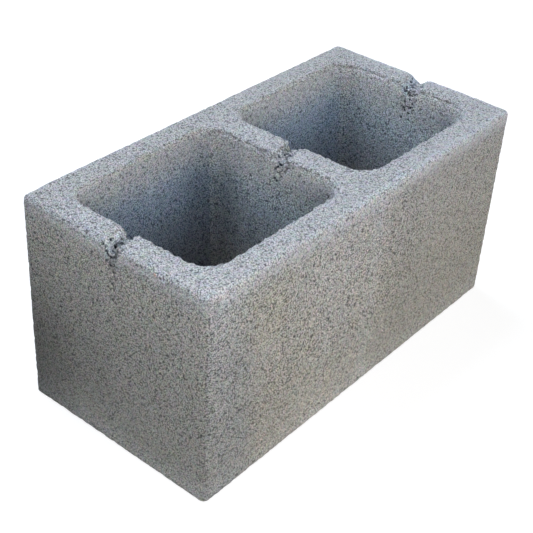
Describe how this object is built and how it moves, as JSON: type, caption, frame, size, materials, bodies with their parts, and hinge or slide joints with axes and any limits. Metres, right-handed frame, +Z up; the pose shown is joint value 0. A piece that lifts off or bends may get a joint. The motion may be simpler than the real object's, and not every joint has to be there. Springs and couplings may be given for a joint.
{
  "type": "hollow concrete block",
  "caption": "Hollow concrete masonry block with tapered, round-cornered cells open at top and bottom, flat ends and a core bar notch across the top of each web.",
  "frame": {"origin": "middle of the bed, the face that stood on the pallet and that the block stands on", "axes": "+X along the block, through both ends; +Y across it, square to the long faces; +Z up through the cells, towards the notched top face"},
  "size_m": [0.39, 0.19, 0.19],
  "materials": {
    "concrete": "dry-cast concrete, matt grey, open and sandy, with fine pits, pale grains, and ragged rims and torn seams at the core bar notches"
  },
  "bodies": {
    "root": {"concrete_block": "concrete"}
  },
  "joints": []
}
